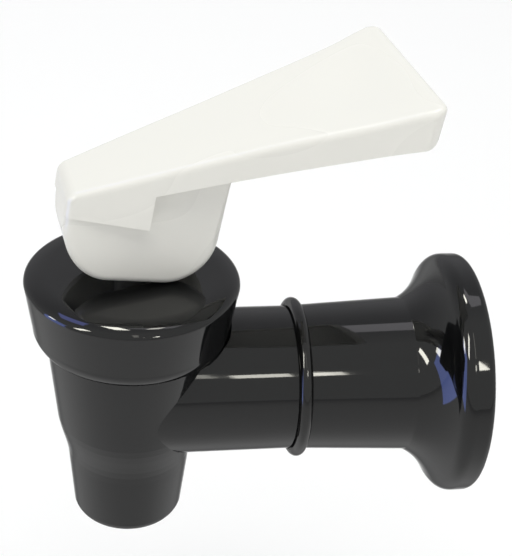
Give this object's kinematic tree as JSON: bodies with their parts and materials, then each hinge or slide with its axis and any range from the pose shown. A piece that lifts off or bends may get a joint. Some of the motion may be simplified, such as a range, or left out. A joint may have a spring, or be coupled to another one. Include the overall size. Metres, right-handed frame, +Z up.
{
  "type": "dispenser spigot",
  "caption": "Self-closing beverage dispenser spigot with a push lever, a screw-on bonnet, a side arm and a flared wall collar with a threaded inlet.",
  "frame": {"origin": "centre of the wall collar's back face, on the axis of the inlet thread", "axes": "+X along the inlet axis into the wall, the way the mating nipple leaves; +Z up along the barrel, from nozzle to lever; +Y across"},
  "size_m": [0.071, 0.0404, 0.0773],
  "materials": {
    "black_plastic": "polished black moulding",
    "ring_rubber": "smooth black rubber",
    "seat_silicone": "milky silicone",
    "spring_steel": "drawn stainless wire",
    "washer_steel": "stamped stainless sheet",
    "stem_plastic": "natural acetal",
    "pin_steel": "ground stainless rod",
    "white_plastic": "satin warm white moulding"
  },
  "bodies": {
    "housing": {"body": "black_plastic", "bonnet": "black_plastic", "collar": "black_plastic", "joint_ring": "ring_rubber", "seat_cup": "seat_silicone", "spring": "spring_steel"},
    "plunger": {"spring_washer": "washer_steel"},
    "stem": {"stem": "stem_plastic", "lever_pin": "pin_steel"},
    "lever": {"lever": "white_plastic"}
  },
  "joints": [
    {"name": "stem_lift", "type": "slide", "parent": "housing", "child": "plunger", "axis": [0, 0, 1], "range_m": [0, 0.00192], "deforming": ["spring", "seat_cup"]},
    {"name": "handle_swivel", "type": "hinge", "parent": "plunger", "child": "stem", "pos_m": [-0.0545, 0, 0.0274], "axis": [0, 0, 1], "continuous": true},
    {"name": "lever_tilt", "type": "hinge", "parent": "stem", "child": "lever", "pos_m": [-0.0545, 0, 0.0274], "axis": [-0.1149, 0.9934, 0], "range_deg": [0, 25], "stiffness_Nm_per_rad": 0.01355, "springref_deg": -78.15}
  ],
  "couplings": [
    {"joint": "lever_tilt", "follows": "stem_lift", "rad_per_m": 227.25}
  ]
}
